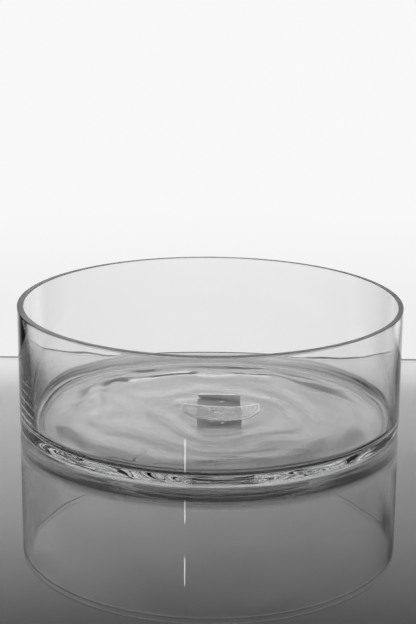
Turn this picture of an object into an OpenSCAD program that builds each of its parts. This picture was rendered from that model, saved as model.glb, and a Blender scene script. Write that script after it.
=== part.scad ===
// Crystallizing dish: a wide, shallow, straight-walled vessel of clear glass with a heavy
// floor, a flat ground rim and a ground crescent under the floor. A blank label crosses the crescent.
//
// Frame: millimetres, +Z up. The origin is where the dish's axis meets the table it stands on.
// The glass is one solid of revolution with one off-centre crescent cut into its underside.

/* [Vessel] */
// Outside diameter of the straight wall
outer_d = 300; // [200:5:320]
// Height from the table to the top of the rim
height = 99; // [70:1:130]
// Thickness of the straight wall
wall_t = 4.5; // [3.5:0.1:6]
// Height of the floor's upper face above the table
floor_t = 8.5; // [6:0.5:12]

/* [Edges] */
// Radius of the inside corner where the floor turns up into the wall
corner_r = 8; // [5:0.5:14]
// Radius of the outside edge at the bottom of the wall
heel_r = 7; // [2:0.5:9]
// Radius that breaks each edge of the flat ground rim
rim_edge_r = 0.5; // [0.2:0.1:1]

/* [Underside] */
// Width of the flat ring that the dish stands on
foot_ring_w = 13; // [8:1:20]
// Depth of the shallow recess inside the foot ring
recess_h = 0.8; // [0.5:0.1:1.5]
// Run of the gentle slope between the foot ring and the recess
recess_run = 30; // [5:1:40]

/* [Ground crescent] */
// Diameter of the spot ground where the glass was held while it was made
spot_d = 64; // [50:1:80]
// Radius of the crescent's hollow side, where the grinding stopped
spot_hollow_r = 56; // [35:1:80]
// How far behind the spot's middle the hollow side begins
spot_hollow_y = 1; // [-8:0.5:8]
// Depth of the crescent above the recess
spot_depth = 0.8; // [0.4:0.1:1.5]
// Sideways offset of the spot from the axis
spot_x = 9; // [-15:0.5:15]
// Front-to-back offset of the spot from the axis
spot_y = 14.5; // [-15:0.5:15]

/* [Label] */
// Width of the blank label
label_w = 35; // [20:1:45]
// Length of the blank label, which runs from front to back
label_l = 80; // [50:1:90]
// Thickness of the label with its adhesive
label_t = 0.2; // [0.1:0.05:0.3]
// Radius of the label's corners
label_corner_r = 1.5; // [0.5:0.5:4]
// Sideways offset of the label's middle from the axis
label_x = 7.5; // [-15:0.5:15]
// Front-to-back offset of the label's middle from the axis
label_y = 5; // [-15:0.5:15]

/* [Hidden] */
$fn = 180;

outer_r = outer_d / 2;
inner_r = outer_r - wall_t;
// Where the foot ring's flat begins and ends
ring_outer_r = outer_r - heel_r;
ring_inner_r = ring_outer_r - foot_ring_w;
// How far a cutting shape reaches past the glass, so that it cuts cleanly
over = 1;

// Half of the section, as if the dish were solid, with the heel and the rim's outer edge rounded.
module outer_section() {
    square([outer_r - heel_r, heel_r]);
    translate([0, heel_r]) square([outer_r - rim_edge_r, height - heel_r]);
    translate([0, heel_r]) square([outer_r, height - heel_r - rim_edge_r]);
    translate([outer_r - heel_r, heel_r]) circle(heel_r);
    translate([outer_r - rim_edge_r, height - rim_edge_r]) circle(rim_edge_r);
}
// Half of the hollow, up to just above the rim, with the rounded corner where it meets the floor.
module hollow_section() {
    corner_top = floor_t + corner_r;
    translate([0, floor_t]) square([inner_r - corner_r, height - floor_t + over]);
    translate([0, corner_top]) square([inner_r, height - corner_top + over]);
    translate([inner_r - corner_r, corner_top]) circle(corner_r);
}
// What the rim's inner edge loses when it is rounded.
module rim_inner_relief() {
    rim_edge_z = height - rim_edge_r;
    difference() {
        translate([inner_r - over, rim_edge_z]) square([over + rim_edge_r, rim_edge_r + over]);
        translate([inner_r + rim_edge_r, rim_edge_z]) circle(rim_edge_r);
    }
}
// Half of the shallow recess under the floor. Its edge slopes down to the foot ring.
module recess_section() {
    polygon([
        [0, -over],
        [ring_inner_r, -over],
        [ring_inner_r, 0],
        [ring_inner_r - recess_run, recess_h],
        [0, recess_h]
    ]);
}
// What the grinding took from the underside: the part of the spot in front of its hollow side.
module ground_crescent() {
    translate([spot_x, spot_y, 0])
    linear_extrude(recess_h + spot_depth)
    difference() {
        circle(d = spot_d);
        translate([0, spot_hollow_y + spot_hollow_r]) circle(spot_hollow_r);
    }
}
module glass_dish() {
    color([0.86, 0.89, 0.89, 0.35])
    difference() {
        rotate_extrude()
        intersection() {
            square([outer_r, height]);
            difference() {
                outer_section();
                hollow_section();
                rim_inner_relief();
                recess_section();
            }
        }
        ground_crescent();
    }
}
// A plain, unprinted label stuck up against the recess, across the ground crescent.
module base_label() {
    color([0.62, 0.62, 0.6])
    translate([label_x, label_y, recess_h - label_t])
    linear_extrude(label_t) {
        square([label_w - 2 * label_corner_r, label_l], center = true);
        square([label_w, label_l - 2 * label_corner_r], center = true);
        for (x = [-1, 1], y = [-1, 1])
            translate([x * (label_w / 2 - label_corner_r), y * (label_l / 2 - label_corner_r)])
            circle(label_corner_r);
    }
}
glass_dish();
base_label();
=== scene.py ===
import math

import bpy
import numpy as np
from mathutils import Matrix, Vector, noise


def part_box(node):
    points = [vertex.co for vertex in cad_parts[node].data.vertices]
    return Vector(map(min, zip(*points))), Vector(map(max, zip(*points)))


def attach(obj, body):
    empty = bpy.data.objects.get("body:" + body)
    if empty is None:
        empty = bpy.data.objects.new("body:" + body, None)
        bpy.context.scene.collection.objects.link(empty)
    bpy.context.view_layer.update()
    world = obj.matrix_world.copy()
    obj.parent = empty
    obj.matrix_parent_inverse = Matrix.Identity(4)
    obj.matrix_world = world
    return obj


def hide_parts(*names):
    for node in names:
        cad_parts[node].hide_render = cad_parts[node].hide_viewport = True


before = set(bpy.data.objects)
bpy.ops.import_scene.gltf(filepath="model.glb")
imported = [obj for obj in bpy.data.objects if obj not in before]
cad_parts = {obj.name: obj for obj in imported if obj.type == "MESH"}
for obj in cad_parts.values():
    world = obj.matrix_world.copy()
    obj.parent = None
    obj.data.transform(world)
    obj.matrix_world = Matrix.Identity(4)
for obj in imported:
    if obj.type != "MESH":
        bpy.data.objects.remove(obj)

MM = 0.001
TINY = 0.02 * MM

# The glass
GLASS_IOR = 1.52
GLASS_TINT = (0.3, 0.32, 0.31, 1)
GLASS_DENSITY = 2.5
SEGMENTS = 512                 # steps around the vessel
WALL_SHIFT = 0.5 * MM          # how far the inside of the wall sits off the axis, to the right
WALL_TAPER = (0.4 * MM, 1.2 * MM, 2.6 * MM)    # extra thickness at its foot: front and back, right, left
WALL_WAVE = 0.10 * MM          # hand-made unevenness of the inside of the wall
WAVE_LENGTH = 40 * MM          # of that unevenness, and of the way the ripples wander
WAVE_FADE = 8 * MM             # it dies away this far below the rim
RIPPLE_MIDDLE = 0.36 * MM      # half height of the floor's ripples, inside RIPPLE_RUN of its edge
RIPPLE_EDGE = 0.02 * MM        # half height at the floor's edge
RIPPLE_RUN = 40 * MM
RIPPLE_FADE = 6 * MM           # over the last of the floor they die away
RIPPLE_PITCH = 5.0 * MM        # one full ripple is tau times this
RIPPLE_FINE = 0.25             # share of finer, irregular unevenness

# The ground crescent and the rim
SPOT_START = 1 * MM            # how far behind the spot's middle the crescent's hollow side begins
SPOT_HOLLOW = 10 * MM          # how far that side bows back from there at its horns
SPOT_SOFT = 3 * MM
SPOT_EDGE = 1.6 * MM
LIP_HEIGHT = 0.2 * MM          # a slight groove just inside the crescent's front edge
LIP_PLACE = 2.2 * MM
LIP_WIDTH = 1.1 * MM
CRESCENT_ROUGH = 0.3
RIM_ROUGH = 0.45
RIM_DEPTH = (0.3 * MM, 0.1 * MM)    # below the top, where the ground face fades in
RIM_TINT = 0.85                # the rim face passes less light than polished glass
GLINT_WIDTH = 0.9 * MM
PAINTED_GLINT = 0.9                    # painted glint: a glow along the crescent's edges, where chips would catch light
GRAIN_GLINT = 0.4                    # painted sparkle: how strongly the grain of its face glows, as a share of that
GRAIN_SCALE = 1000.0           # per metre, for the crescent's face and the label's fibres
GRAIN_DEEP = 0.35              # the grain is drawn out from front to back by this

# The label
LABEL_COCKLE = 0.05 * MM       # the label touches the glass in patches
COCKLE_SIZE = (5 * MM, 7 * MM)
COCKLE_LIFT = 0.45             # 0 would have half of the label touch
LABEL_GRID = (36, 72)
LABEL_DARK = (0.10, 0.10, 0.098, 1)
LABEL_PALE = (0.36, 0.36, 0.35, 1)
END_WIDTH = 2 * MM             # the painted highlight line at the label's far end

# The studio, in degrees from the direction the camera faces, and above the horizon
ROOM = 0.03
SWEEP_TONE = (0.83, 0.91)      # low and high on the part of the backdrop below the horizon
SWEEP_FADE = (-16.0, -11.0)
SWEEP_SIDES = (-24.0, 42.0)
SWEEP_SOFT = 9.0
PANEL_FOOT = (-3.0, 0.0)
SIDE_TONE = 0.95
SIDE_HALF_WIDTH = (75.0, 10.0)
SIDE_TOP = (20.3, 21.3)
MIDDLE_TONE = (1.25, 0.75)     # the middle of the panel is lit from the left
MIDDLE_TILT = 20.0
MIDDLE_HALF_WIDTH = (14.0, 4.0)
MIDDLE_TOP = (21.0, 30.0)
OVERHEAD_TONE = 0.75           # a soft box over the table
OVERHEAD_FOOT = (30.0, 36.0)
OVERHEAD_TOP = (66.0, 76.0)
ABOVE_PITCH = (0.42, 0.85)     # sine of the camera's pitch where the room grows pale
ABOVE_RISE = (20.0, 70.0)      # the pale room grows brighter between these
ABOVE_ROOM = (0.25, 0.9)
ABOVE_TABLE = 0.62

# A painted reflection of a thin upright lamp behind the camera, in three lengths: it glows on the outer wall,
# and the lamp itself is not in the scene
STRIP_AZIMUTH = -13.9
STRIP_WIDTH = 0.3
STRIP_LENGTHS = ((20.2, 21.4), (22.5, 23.3), (24.6, 25.6))
STRIP_SOFT = 0.1
STRIP_POWER = 60.0
TABLE_MIRROR = 0.2             # share of the painted reflection kept where the mirror direction points down, as the table throws only this share of the lamp's light back up

# The table: a clear plate, and under it a sheet that glows with painted light, which depends on place and on
# direction
PLATE = 6.35 * MM
PLATE_IOR = 1.5
TABLE_EDGE = 171 * MM          # its far edge, behind the dish's axis
TABLE_HALF, TABLE_FRONT = 2, -3    # metres
SHEET_GAP, SHEET_DEPTH = 1 * MM, 20 * MM
# painted light on the sheet: darkest at the front, brightest at the far edge
SHEET_FRONT, SHEET_MIDDLE, SHEET_BACK = 0.03, 0.16, 0.30
SHEET_RISE = (-170 * MM, 100 * MM)    # from front tone to middle tone
SHEET_LAST = 80 * MM           # where the back tone starts to come in
SHEET_SIDE = (8.0, 26.0)       # degrees off the camera's direction, over which a painted sheen fades
SHEET_SIDE_TONE = 0.12
# painted shade where the sheet is seen steeply
SHEET_STEEP = (60.0, 89.0)
SHEET_STEEP_TONE = 0.3
SHADOW_Y = -70 * MM
SHADOW_HALF = (110 * MM, 60 * MM)
SHADOW_TONE = 0.4
GATHER_START, GATHER_END = 152 * MM, 168 * MM
GATHER_RISE = (60 * MM, 120 * MM)
GATHER_TONE = 0.9

# The camera
LENS = 87.613                  # millimetres, on a 36 mm wide sensor
CAMERA_PLACE = (0, -1.14565, 0.40555)
CAMERA_PITCH, CAMERA_PAN, CAMERA_ROLL = 15.402, -0.0858, 0.4288
BOUNCES = 48                   # light is reflected many times inside the floor


# ---------------------------------------------------------------- sizes, read back from the CAD

def cad_points(node):
    return np.array([v.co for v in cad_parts[node].data.vertices])


def measure_dish():
    """The vessel's sizes in metres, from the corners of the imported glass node."""
    points = cad_points("glass_dish")
    radius = np.hypot(points[:, 0], points[:, 1])
    z = points[:, 2]
    d = {"outer_r": radius.max(), "height": z.max()}
    d["inner_r"] = radius[z > 0.9 * d["height"]].min()
    above = (radius <= d["inner_r"] + TINY) & (z > 0.03 * d["height"])
    d["floor_z"] = z[above].min()
    d["floor_edge"] = radius[above & (z < d["floor_z"] + TINY)].max()
    standing = z < TINY
    d["ring_inner"] = radius[standing].min()
    d["ring_outer"] = radius[standing].max()
    under = (z < 0.03 * d["height"]) & (radius < d["ring_inner"] - TINY)
    d["recess_z"] = z[under & (radius < d["outer_r"] / 2)].min()
    d["recess_edge"] = radius[under & (abs(z - d["recess_z"]) < TINY)].max()
    d["spot_z"] = z[under].max()
    spot = points[under & (z > d["spot_z"] - TINY)]
    low, high = spot.min(0), spot.max(0)
    d["spot_r"] = (high[0] - low[0]) / 2
    d["spot_centre"] = np.array([(low[0] + high[0]) / 2, low[1] + d["spot_r"]])
    face = radius[z > d["height"] - TINY]
    d["rim_edge"] = face.min() - d["inner_r"]
    return d


def measure_label():
    """The label's box and corner radius, in metres."""
    points = cad_points("base_label")
    low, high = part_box("base_label")
    side = points[points[:, 0] > high.x - TINY]
    return low, high, high.y - side[:, 1].max()


# ---------------------------------------------------------------- glass geometry

def smoothstep(t):
    t = min(1.0, max(0.0, t))
    return t * t * (3 - 2 * t)


def arc(centre_r, centre_z, radius, start, end, steps):
    angle = np.radians(np.linspace(start, end, steps + 1))
    return list(zip(centre_r + radius * np.cos(angle), centre_z + radius * np.sin(angle)))


def line(a, b, steps):
    return list(zip(np.linspace(a[0], b[0], steps + 1), np.linspace(a[1], b[1], steps + 1)))


def taper(angle):
    """How much thicker the wall is at its foot than at its rim, by angle from the right."""
    ends, right, left = WALL_TAPER
    side = right if math.cos(angle) > 0 else left
    return ends + (side - ends) * math.cos(angle) ** 2


def inside_low(d):
    """Height at which the straight wall meets the rounded inside corner."""
    return d["floor_z"] + d["inner_r"] - d["floor_edge"]


def underside_rings(d):
    """Rings from the ground spot's centre out to the heel, as (centre x, centre y, radius, z)."""
    cx, cy = d["spot_centre"]
    nested = 2.5 * d["spot_r"]
    inner = np.concatenate([
        np.linspace(0, d["spot_r"] - 6 * MM, 24),
        np.linspace(d["spot_r"] - 5.6 * MM, d["spot_r"] + 3 * MM, 36),
        np.linspace(d["spot_r"] + 4 * MM, nested, 24),
    ])
    rings = []
    for r in inner:
        share = np.clip((r - d["spot_r"] - 3 * MM) / (nested - d["spot_r"] - 3 * MM), 0, 1)
        rings.append((cx * (1 - share), cy * (1 - share), r, d["recess_z"]))
    slope = [(r, d["recess_z"] * (1 - smoothstep(k / 30))) for k, (r, _) in
             enumerate(line((d["recess_edge"], 0), (d["ring_inner"], 0), 30))]
    flat = line((nested, d["recess_z"]), (d["recess_edge"], d["recess_z"]), 10)
    ring = line((d["ring_inner"], 0), (d["ring_outer"], 0), 10)
    rings += [(0, 0, r, z) for r, z in flat[1:] + slope[1:] + ring[1:]]
    return rings


def outside_rings(d):
    """Rings up the outside, from the foot ring to the outer edge of the rim."""
    heel = d["outer_r"] - d["ring_outer"]
    edge = d["rim_edge"]
    section = arc(d["ring_outer"], heel, heel, -90, 0, 28)[1:]
    section += line((d["outer_r"], heel), (d["outer_r"], d["height"] - edge), 60)[1:]
    section += arc(d["outer_r"] - edge, d["height"] - edge, edge, 0, 90, 6)[1:]
    return [(0, 0, r, z) for r, z in section]


def inside_rings(d):
    """Rings across the rim, down the inside and in to the middle of the floor."""
    edge = d["rim_edge"]
    corner = d["inner_r"] - d["floor_edge"]
    low = inside_low(d)
    section = line((d["outer_r"] - edge, d["height"]), (d["inner_r"] + edge, d["height"]), 4)[1:]
    section += arc(d["inner_r"] + edge, d["height"] - edge, edge, 90, 180, 6)[1:]
    section += line((d["inner_r"], d["height"] - edge), (d["inner_r"], low), 90)[1:]
    section += arc(d["floor_edge"], low, corner, 0, -90, 36)[1:]
    section += line((d["floor_edge"], d["floor_z"]), (0, d["floor_z"]), 190)[1:]
    return [(WALL_SHIFT * r / d["inner_r"], 0, r, z) for r, z in section]


def ripple(x, y, r, foot):
    """Height of the floor's slow, roughly concentric ripples at a point."""
    spot = Vector((x / WAVE_LENGTH, y / WAVE_LENGTH, 0.7))
    wander = noise.noise(spot) * 1.6 + 0.5 * math.sin(2 * math.atan2(y, x) + 0.4)
    fine = noise.noise(spot * 2.3)
    edge = max(0.0, min(1.0, (foot - r) / RIPPLE_RUN))
    size = RIPPLE_EDGE + (RIPPLE_MIDDLE - RIPPLE_EDGE) * edge
    size *= min(1.0, (foot - r) / RIPPLE_FADE) if r < foot else 0.0
    return size * (math.sin(r / RIPPLE_PITCH + 2.5 * wander) * 0.7 + RIPPLE_FINE * fine)


def wall_wave(angle, z):
    """How far the inside of the wall wavers, by angle from the right and height."""
    at = Vector((4 * math.cos(angle), 4 * math.sin(angle), z / WAVE_LENGTH))
    return WALL_WAVE * noise.noise(at) * 2


def hollow_side(sx, d):
    """How far back the ground crescent reaches at sx from the spot's middle."""
    return SPOT_START + SPOT_HOLLOW * (sx / d["spot_r"]) ** 2


def spot_depth(sx, sy, d):
    """How far the underside is ground up at a point measured from the spot's middle."""
    r = math.hypot(sx, sy)
    front = smoothstep((hollow_side(sx, d) - sy) / SPOT_SOFT + 0.5)
    step = (d["spot_z"] - d["recess_z"]) * smoothstep((d["spot_r"] - r) / SPOT_EDGE + 0.5)
    lip = LIP_HEIGHT * math.exp(-((r - d["spot_r"] + LIP_PLACE) / LIP_WIDTH) ** 2)
    return (step + lip) * front


def inset(kind, radius, z, angle, d):
    """How far the inside surface stands in from its straight form."""
    if kind == "wall":
        share = (d["height"] - z) / (d["height"] - inside_low(d))
        return taper(angle) * share - wall_wave(angle, z) * min(1.0, (d["height"] - z) / WAVE_FADE)
    if kind == "corner":
        return taper(angle) - wall_wave(angle, z)
    if kind == "floor":
        return taper(angle) * (radius / d["floor_edge"]) ** 2
    return 0.0


def inside_kind(ring, d):
    """Which part of the inside a ring belongs to."""
    _, _, radius, z = ring
    if radius < d["floor_edge"] - TINY:
        return "floor"
    return "wall" if z > inside_low(d) else "corner"


def ring_points(ring, kind, d):
    """The points of one ring, moved by what its kind of surface does there."""
    cx, cy, radius, z = ring
    points = []
    for k in range(SEGMENTS if radius > 1e-9 else 1):
        angle = math.tau * k / SEGMENTS
        out = radius - inset(kind, radius, z, angle, d)
        x, y = cx + out * math.cos(angle), cy + out * math.sin(angle)
        height = z
        if kind == "floor":
            height += ripple(x, y, radius, d["floor_edge"])
        if kind == "under":
            height += spot_depth(x - d["spot_centre"][0], y - d["spot_centre"][1], d)
        points.append((x, y, height))
    return points


def skin(rings):
    """Faces that join a list of rings, each a (first vertex, count) pair, into one closed surface."""
    faces = []
    for (a, na), (b, nb) in zip(rings, rings[1:]):
        for k in range(SEGMENTS):
            n = (k + 1) % SEGMENTS
            if na == 1:
                faces.append((a, b + n, b + k))
            elif nb == 1:
                faces.append((a + k, a + n, b))
            else:
                faces.append((a + k, a + n, b + n, b + k))
    return faces


def add_mesh(name, points, faces, smooth=True):
    mesh = bpy.data.meshes.new(name)
    mesh.from_pydata(points, [], faces)
    mesh.polygons.foreach_set("use_smooth", [smooth] * len(mesh.polygons))
    mesh.update()
    piece = bpy.data.objects.new(name, mesh)
    bpy.context.scene.collection.objects.link(piece)
    return piece


def build_glass(d):
    """The whole vessel as one closed skin: underside, outside, rim, inside and floor."""
    rings = [(ring, "under") for ring in underside_rings(d)]
    rings += [(ring, "outside") for ring in outside_rings(d)]
    for ring in inside_rings(d):
        rings.append((ring, inside_kind(ring, d)))
    points, spans = [], []
    for ring, kind in rings:
        made = ring_points(ring, kind, d)
        spans.append((len(points), len(made)))
        points += made
    return add_mesh("dish_glass", points, skin(spans))


# ---------------------------------------------------------------- label geometry

def build_label():
    """A rounded sheet, very slightly cockled, glued up against the underside."""
    low, high, corner = measure_label()
    columns, rows = LABEL_GRID
    points, faces = [], []
    for top in (0, 1):
        for j in range(rows + 1):
            for i in range(columns + 1):
                u, v = i / columns * 2 - 1, j / rows * 2 - 1
                x, y = rounded(u, v, (high.x - low.x) / 2, (high.y - low.y) / 2, corner)
                z = high.z + cockle(x, y) if top else low.z
                points.append(((low.x + high.x) / 2 + x, (low.y + high.y) / 2 + y, z))
    across = columns + 1
    layer = across * (rows + 1)
    for j in range(rows):
        for i in range(columns):
            a = j * across + i
            faces.append((a, a + across, a + across + 1, a + 1))
            faces.append((layer + a, layer + a + 1, layer + a + across + 1, layer + a + across))
    border = list(range(columns))
    border += [columns + j * across for j in range(rows)]
    border += [rows * across + columns - i for i in range(columns)]
    border += [(rows - j) * across for j in range(rows)]
    for a, b in zip(border, border[1:] + border[:1]):
        faces.append((a, b, layer + b, layer + a))
    return add_mesh("base_label_sheet", points, faces, smooth=False)


def cockle(x, y):
    """How far the label's face stands into the glass, or below it where the glue didn't take."""
    at = Vector((x / COCKLE_SIZE[0], y / COCKLE_SIZE[1], 3.1))
    return LABEL_COCKLE * (noise.noise(at) + COCKLE_LIFT)


def rounded(u, v, half_x, half_y, corner):
    """A point of a rectangle's grid, moved so that the outline has rounded corners."""
    x, y = u * half_x, v * half_y
    over_x, over_y = abs(x) - (half_x - corner), abs(y) - (half_y - corner)
    if over_x > 0 and over_y > 0:
        reach = math.hypot(over_x, over_y)
        squeeze = max(over_x, over_y) / reach
        x = math.copysign(half_x - corner + over_x * squeeze, x)
        y = math.copysign(half_y - corner + over_y * squeeze, y)
    return x, y


# ---------------------------------------------------------------- node helpers

class Nodes:
    """Short calls for building a node tree."""

    def __init__(self, tree):
        self.tree = tree
        tree.nodes.clear()

    def new(self, kind, **settings):
        node = self.tree.nodes.new(kind)
        for key, value in settings.items():
            setattr(node, key, value)
        return node

    def put(self, socket, value):
        if isinstance(value, bpy.types.NodeSocket):
            self.tree.links.new(value, socket)
        else:
            socket.default_value = value

    def math(self, operation, *values):
        node = self.new("ShaderNodeMath", operation=operation)
        for socket, value in zip(node.inputs, values):
            self.put(socket, value)
        return node.outputs[0]

    def smooth(self, value, start, end, low=0.0, high=1.0):
        node = self.new("ShaderNodeMapRange", interpolation_type="SMOOTHSTEP")
        for socket, item in zip(node.inputs, (value, start, end, low, high)):
            self.put(socket, item)
        return node.outputs[0]

    def mix(self, a, b, share):
        return self.math("ADD", self.times(a, self.math("SUBTRACT", 1.0, share)), self.times(b, share))

    def times(self, *values):
        """The product of two or more values."""
        product = values[0]
        for value in values[1:]:
            product = self.math("MULTIPLY", product, value)
        return product

    def length(self, x, y):
        return self.math("SQRT", self.math("ADD", self.times(x, x), self.times(y, y)))

    def noise(self, scale, detail, vector=None):
        node = self.new("ShaderNodeTexNoise")
        node.inputs["Scale"].default_value = scale
        node.inputs["Detail"].default_value = detail
        if vector is not None:
            self.put(node.inputs["Vector"], vector)
        return node.outputs[0]

    def place(self):
        return self.new("ShaderNodeTexCoord").outputs["Object"]

    def deep(self):
        """The same place drawn out from front to back, so that grain still shows at a low angle."""
        return self.vector("MULTIPLY", self.place(), (1.0, GRAIN_DEEP, 1.0))

    def vector(self, operation, *values):
        node = self.new("ShaderNodeVectorMath", operation=operation)
        for socket, value in zip(node.inputs, values):
            self.put(socket, value)
        return node.outputs[0]

    def dot(self, a, b):
        node = self.new("ShaderNodeVectorMath", operation="DOT_PRODUCT")
        self.put(node.inputs[0], a)
        self.put(node.inputs[1], b)
        return node.outputs["Value"]

    def turn(self, vector, start, end):
        node = self.new("ShaderNodeVectorTransform", vector_type="VECTOR", convert_from=start, convert_to=end)
        self.put(node.inputs[0], vector)
        return node.outputs[0]

    def split(self, vector):
        node = self.new("ShaderNodeSeparateXYZ")
        self.put(node.inputs[0], vector)
        return node.outputs

    def finish(self, shader, kind="ShaderNodeOutputMaterial"):
        node = self.new(kind)
        self.put(node.inputs["Surface"], shader)
        return node


def material(name):
    made = bpy.data.materials.new(name)
    made.use_nodes = True
    return made, Nodes(made.node_tree)


def degrees_step(n, angle, start, end, low=0.0, high=1.0):
    return n.smooth(angle, math.radians(start), math.radians(end), low, high)


def band(n, value, half_width, soft):
    """1 within half_width degrees either side of 0, falling to 0 over soft degrees each way."""
    inside, outside = math.radians(half_width - soft), math.radians(half_width + soft)
    return n.smooth(n.math("ABSOLUTE", value), inside, outside, 1.0, 0.0)


# ---------------------------------------------------------------- materials

def glass_material(d):
    """Clear glass with a trace of grey in its body. The crescent and the rim are rough. It also glows with a
    painted reflection of the strip lamp and a painted glint on the crescent.
    """
    made, n = material("clear_glass")
    x, y, z = n.split(n.place())
    crescent, glint = ground_crescent(n, x, y, z, d)
    rim = rim_mask(n, z, d)
    bump = n.new("ShaderNodeBump")
    bump.inputs["Strength"].default_value = 0.02
    bump.inputs["Distance"].default_value = 0.1 * MM
    n.put(bump.inputs["Height"], n.noise(60.0, 3.0))
    glass = n.new("ShaderNodeBsdfGlass")
    glass.inputs["IOR"].default_value = GLASS_IOR
    n.put(glass.inputs["Color"], n.smooth(rim, 0.0, 1.0, 1.0, RIM_TINT))
    rough = n.math("ADD", n.times(crescent, CRESCENT_ROUGH), n.times(rim, RIM_ROUGH))
    n.put(glass.inputs["Roughness"], rough)
    n.put(glass.inputs["Normal"], bump.outputs[0])
    # painted glow: the painted strip reflection and the painted glint, added to the glass as emission
    lamp = n.new("ShaderNodeEmission")
    n.put(lamp.inputs["Strength"], n.math("ADD", painted_strip_reflection(n, x, y, d), glint))
    both = n.new("ShaderNodeAddShader")
    n.put(both.inputs[0], glass.outputs[0])
    n.put(both.inputs[1], lamp.outputs[0])
    out = n.finish(both.outputs[0])
    body = n.new("ShaderNodeVolumeAbsorption")
    body.inputs["Color"].default_value = GLASS_TINT
    body.inputs["Density"].default_value = GLASS_DENSITY
    n.put(out.inputs["Volume"], body.outputs[0])
    return made


def ground_crescent(n, x, y, z, d):
    """The ground crescent under the floor: how rough it is, and the painted glint that glows along its edges
    and in its grain.
    """
    spot_r = float(d["spot_r"])
    sx = n.math("SUBTRACT", x, float(d["spot_centre"][0]))
    sy = n.math("SUBTRACT", y, float(d["spot_centre"][1]))
    bow = n.times(sx, sx, SPOT_HOLLOW / spot_r ** 2)
    back = n.math("SUBTRACT", n.math("SUBTRACT", sy, bow), SPOT_START)
    reach = n.math("SUBTRACT", n.length(sx, sy), spot_r)
    low = n.math("LESS_THAN", z, float(d["spot_z"]) + 1 * MM)
    inside = n.smooth(reach, -1 * MM, 0.5 * MM, 1.0, 0.0)
    front = n.smooth(back, 0.0, 2 * MM, 1.0, 0.0)
    area = n.times(inside, front, low)
    coarse = n.smooth(n.noise(900.0, 4.0), 0.42, 0.62, 0.3, 1.0)
    edges = n.times(crescent_glint_lines(n, sx, back, reach), area)
    # painted highlight past the label's far end, joined to the painted glint lines
    edges = n.math("MAXIMUM", edges, n.times(label_end_glint(n, x, y), low))
    patches = n.smooth(n.noise(260.0, 3.0), 0.38, 0.6, 0.1, 1.0)
    grain = n.smooth(n.noise(GRAIN_SCALE, 3.0, n.deep()), 0.45, 0.7, 0.0, GRAIN_GLINT)
    grain = n.times(grain, area, n.smooth(sx, -26 * MM, -6 * MM))
    # painted glint: edge lines in patches, and painted sparkle in the grain
    glint = n.math("MAXIMUM", n.times(edges, patches), grain)
    return n.times(area, coarse), n.times(glint, PAINTED_GLINT)


def crescent_glint_lines(n, sx, back, reach):
    """Where the painted glint glows: all of the hollow side, and the front edge more towards the right."""
    rim = n.smooth(n.math("ABSOLUTE", n.math("ADD", reach, GLINT_WIDTH)), 0.0, GLINT_WIDTH, 1.0, 0.0)
    rim = n.times(rim, n.smooth(sx, -28 * MM, 26 * MM, 0.15, 1.0))
    hollow = n.smooth(n.math("ABSOLUTE", back), 0.0, GLINT_WIDTH, 1.0, 0.0)
    return n.math("MAXIMUM", rim, hollow)


def label_end_glint(n, x, y):
    """A painted highlight: a line that glows just past the label's far end."""
    low, high, _ = measure_label()
    off = n.math("ABSOLUTE", n.math("SUBTRACT", y, high.y + END_WIDTH))
    across = n.smooth(off, 0.0, END_WIDTH, 1.0, 0.0)
    from_left = n.smooth(x, low.x - 2 * MM, low.x + 2 * MM)
    to_right = n.smooth(x, high.x - 8 * MM, high.x, 1.0, 0.0)
    return n.times(across, from_left, to_right)


def rim_mask(n, z, d):
    """How rough the flat ground rim is, with its grain."""
    top = n.smooth(z, d["height"] - RIM_DEPTH[0], d["height"] - RIM_DEPTH[1])
    grain = n.smooth(n.noise(500.0, 3.0), 0.35, 0.65, 0.5, 1.0)
    return n.times(top, grain)


def painted_strip_reflection(n, x, y, d):
    """A painted reflection: a glow on the outer wall where it would mirror a narrow upright lamp behind the
    camera, to its left; the lamp itself is not in the scene.

    It is worked out from the mirror direction, because so thin a lamp is too rarely hit by chance.
    """
    up = n.turn((0, 0, 1), "WORLD", "CAMERA")
    right = n.vector("NORMALIZE", n.vector("CROSS_PRODUCT", (0, 0, -1), up))
    away = n.vector("CROSS_PRODUCT", up, right)
    mirrored = n.new("ShaderNodeTexCoord").outputs["Reflection"]
    seen = n.turn(mirrored, "WORLD", "CAMERA")
    azimuth = n.math("ARCTAN2", n.dot(seen, right), n.dot(seen, away))
    off = n.math("SUBTRACT", azimuth, math.radians(STRIP_AZIMUTH))
    rise = n.split(mirrored)[2]
    elevation = n.math("ARCSINE", n.math("ABSOLUTE", rise))
    total = 0.0
    for low, high in STRIP_LENGTHS:
        above_middle = n.math("SUBTRACT", elevation, math.radians((low + high) / 2))
        total = n.math("ADD", total, band(n, above_middle, (high - low) / 2, STRIP_SOFT))
    shape = n.times(band(n, off, STRIP_WIDTH, STRIP_SOFT), total)
    wall = n.math("GREATER_THAN", n.length(x, y), float(d["outer_r"]) - 0.3 * MM)
    outward = n.math("SUBTRACT", 1.0, n.new("ShaderNodeNewGeometry").outputs["Backfacing"])
    table = n.math("ADD", n.times(n.math("GREATER_THAN", rise, 0.0), 1 - TABLE_MIRROR), TABLE_MIRROR)
    fresnel = n.new("ShaderNodeFresnel")
    fresnel.inputs["IOR"].default_value = GLASS_IOR
    power = n.times(fresnel.outputs[0], STRIP_POWER, table)
    return n.times(shape, power, n.times(wall, outward))


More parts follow.
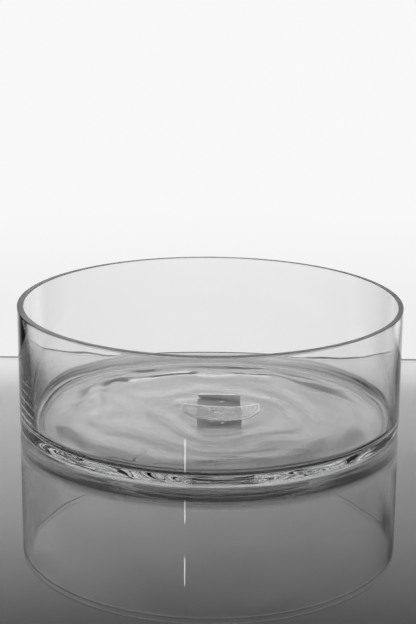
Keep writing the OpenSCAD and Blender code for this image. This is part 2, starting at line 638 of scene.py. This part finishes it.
def label_material():
    """Matt grey paper: fibres, and wider blotches where the adhesive took."""
    made, n = material("label_paper")
    fibres = n.noise(GRAIN_SCALE, 3.0, n.deep())
    blotch = n.noise(90.0, 3.0)
    shade = n.math("ADD", n.times(fibres, 0.45), n.times(blotch, 0.15))
    ramp = n.new("ShaderNodeValToRGB")
    dark, pale = ramp.color_ramp.elements
    dark.position, dark.color = 0.2, LABEL_DARK
    pale.position, pale.color = 0.42, LABEL_PALE
    n.put(ramp.inputs[0], shade)
    bump = n.new("ShaderNodeBump")
    bump.inputs["Strength"].default_value = 0.3
    bump.inputs["Distance"].default_value = 0.05 * MM
    n.put(bump.inputs["Height"], fibres)
    paper = n.new("ShaderNodeBsdfPrincipled")
    n.put(paper.inputs["Base Color"], ramp.outputs[0])
    n.put(paper.inputs["Normal"], bump.outputs[0])
    paper.inputs["Roughness"].default_value = 0.85
    paper.inputs["Specular IOR Level"].default_value = 0.2
    n.finish(paper.outputs[0])
    return made


# ---------------------------------------------------------------- stage

def add_pivot(camera):
    """An empty that turns with the camera, so that the studio is behind the object in any view."""
    pivot = bpy.data.objects.new("studio_pivot", None)
    bpy.context.scene.collection.objects.link(pivot)
    follow = pivot.constraints.new("COPY_ROTATION")
    follow.target = camera
    follow.use_x = follow.use_y = False
    return pivot


def studio_world(pivot):
    """A pale backdrop that curves up behind the object, in a room that is dark elsewhere."""
    world = bpy.data.worlds.new("studio")
    world.use_nodes = True
    bpy.context.scene.world = world
    n = Nodes(world.node_tree)
    x, y, z = n.split(n.new("ShaderNodeTexCoord", object=pivot).outputs["Object"])
    azimuth = n.math("ARCTAN2", x, y)
    elevation = n.math("ARCSINE", z)
    lit = [backdrop(n, azimuth, elevation), panel(n, azimuth, elevation), overhead(n, elevation), ROOM]
    light = lit[0]
    for part in lit[1:]:
        light = n.math("ADD", light, part)
    above = degrees_step(n, elevation, *ABOVE_RISE, *ABOVE_ROOM)
    back = n.new("ShaderNodeBackground")
    n.put(back.inputs["Color"], n.mix(light, above, looking_down(n)))
    n.finish(back.outputs[0], "ShaderNodeOutputWorld")


def backdrop(n, azimuth, elevation):
    """The part of the backdrop below the horizon."""
    tone = degrees_step(n, elevation, *SWEEP_FADE, *SWEEP_TONE)
    left = degrees_step(n, azimuth, SWEEP_SIDES[0] - SWEEP_SOFT, SWEEP_SIDES[0] + SWEEP_SOFT)
    right = degrees_step(n, azimuth, SWEEP_SIDES[1] - SWEEP_SOFT, SWEEP_SIDES[1] + SWEEP_SOFT, 1.0, 0.0)
    return n.times(tone, n.times(left, right), degrees_step(n, elevation, *PANEL_FOOT, 1.0, 0.0))


def panel(n, azimuth, elevation):
    """The part above the horizon: taller in the middle, which is brighter towards the left."""
    side = n.times(band(n, azimuth, *SIDE_HALF_WIDTH), degrees_step(n, elevation, *SIDE_TOP, SIDE_TONE, 0.0))
    tone = degrees_step(n, azimuth, -MIDDLE_TILT, MIDDLE_TILT, *MIDDLE_TONE)
    tone = n.times(tone, degrees_step(n, elevation, *MIDDLE_TOP, 1.0, ROOM))
    middle = n.times(tone, band(n, azimuth, *MIDDLE_HALF_WIDTH))
    return n.times(n.math("MAXIMUM", side, middle), degrees_step(n, elevation, *PANEL_FOOT))


def overhead(n, elevation):
    """A soft light over the table, all the way round."""
    rise = degrees_step(n, elevation, *OVERHEAD_FOOT, 0.0, OVERHEAD_TONE)
    return n.times(rise, degrees_step(n, elevation, *OVERHEAD_TOP, 1.0, 0.0))


def looking_down(n):
    """0 for a low camera, rising to 1 as it climbs above the dish, where the room is paler."""
    up = n.turn((0, 0, 1), "WORLD", "CAMERA")
    return n.smooth(n.math("ABSOLUTE", n.split(up)[2]), *ABOVE_PITCH)


def build_table(pivot):
    """A plain glossy board: a glass plate over a sheet whose painted light falls off towards the viewer."""
    plate = add_box("table_plate", (-TABLE_HALF, TABLE_FRONT, -PLATE), (TABLE_HALF, TABLE_EDGE, -TINY))
    made, n = material("table_plate")
    glass = n.new("ShaderNodeBsdfGlass")
    glass.inputs["IOR"].default_value = PLATE_IOR
    glass.inputs["Roughness"].default_value = 0.0
    n.finish(glass.outputs[0])
    plate.data.materials.append(made)
    bottom, top = -PLATE - SHEET_DEPTH, -PLATE - SHEET_GAP
    sheet = add_box("table_sheet", (-TABLE_HALF, TABLE_FRONT, bottom), (TABLE_HALF, TABLE_EDGE, top))
    sheet.data.materials.append(painted_sheet_material())
    for piece in (plate, sheet):
        piece.parent = pivot


def painted_sheet_material():
    """Painted light: a glow that depends on place, with a painted sheen and painted shade that depend on the
    direction that it is seen from.
    """
    made, n = material("table_sheet")
    x, y, z = n.split(n.place())
    front = n.smooth(y, *SHEET_RISE, SHEET_FRONT, SHEET_MIDDLE)
    back = n.smooth(y, SHEET_LAST, TABLE_EDGE, 0.0, SHEET_BACK - SHEET_MIDDLE)
    shade = n.times(n.math("ADD", front, back), under_dish(n, x, y))
    towards = n.turn(n.new("ShaderNodeNewGeometry").outputs["Incoming"], "WORLD", "OBJECT")
    vx, vy, vz = n.split(towards)
    azimuth = n.math("ABSOLUTE", n.math("ARCTAN2", vx, n.times(vy, -1.0)))
    sideways = degrees_step(n, azimuth, *SHEET_SIDE, 1.0, SHEET_SIDE_TONE)
    steep = degrees_step(n, n.math("ARCSINE", vz), *SHEET_STEEP, 1.0, SHEET_STEEP_TONE)
    tone = n.times(shade, n.times(sideways, steep))
    glow = n.new("ShaderNodeEmission")
    n.put(glow.inputs["Strength"], n.mix(tone, ABOVE_TABLE, looking_down(n)))
    n.finish(glow.outputs[0])
    return made


def under_dish(n, x, y):
    """The soft shadow under the front of the dish, and the light gathered behind it."""
    across = n.times(x, 1 / SHADOW_HALF[0])
    along = n.times(n.math("SUBTRACT", y, SHADOW_Y), 1 / SHADOW_HALF[1])
    shadow = n.smooth(n.length(across, along), 0.0, 1.0, SHADOW_TONE, 1.0)
    gathered = n.smooth(n.length(x, y), GATHER_START, GATHER_END, 0.0, GATHER_TONE)
    gathered = n.times(gathered, n.smooth(y, *GATHER_RISE))
    return n.times(shadow, n.math("ADD", gathered, 1.0))


def add_box(name, low, high):
    points = [(x, y, z) for z in (low[2], high[2]) for y in (low[1], high[1]) for x in (low[0], high[0])]
    faces = [(0, 2, 3, 1), (4, 5, 7, 6), (0, 1, 5, 4), (2, 6, 7, 3), (0, 4, 6, 2), (1, 3, 7, 5)]
    return add_mesh(name, points, faces, smooth=False)


# ---------------------------------------------------------------- camera

def build_camera():
    """A long lens, looking slightly down at the dish from the front."""
    data = bpy.data.cameras.new("camera")
    data.lens = LENS
    data.sensor_width = 36
    data.clip_start = 10 * MM
    data.clip_end = 100
    camera = bpy.data.objects.new("camera", data)
    bpy.context.scene.collection.objects.link(camera)
    pitch, pan, roll = (math.radians(angle) for angle in (CAMERA_PITCH, CAMERA_PAN, CAMERA_ROLL))
    forward = Vector((math.sin(pan) * math.cos(pitch), math.cos(pan) * math.cos(pitch), -math.sin(pitch)))
    turn = forward.to_track_quat("-Z", "Y").to_matrix().to_4x4() @ Matrix.Rotation(roll, 4, "Z")
    camera.matrix_world = Matrix.Translation(CAMERA_PLACE) @ turn
    bpy.context.scene.camera = camera
    return camera


def set_light_paths():
    scene = bpy.context.scene
    scene.view_settings.view_transform = "Standard"
    scene.cycles.max_bounces = BOUNCES
    scene.cycles.transmission_bounces = BOUNCES
    scene.cycles.glossy_bounces = BOUNCES // 3


def main():
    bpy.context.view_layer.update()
    dish = measure_dish()
    glass = build_glass(dish)
    glass.data.materials.append(glass_material(dish))
    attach(glass, "root")
    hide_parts("glass_dish")
    label = build_label()
    label.data.materials.append(label_material())
    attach(label, "root")
    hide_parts("base_label")
    camera = build_camera()
    pivot = add_pivot(camera)
    build_table(pivot)
    studio_world(pivot)
    set_light_paths()


main()
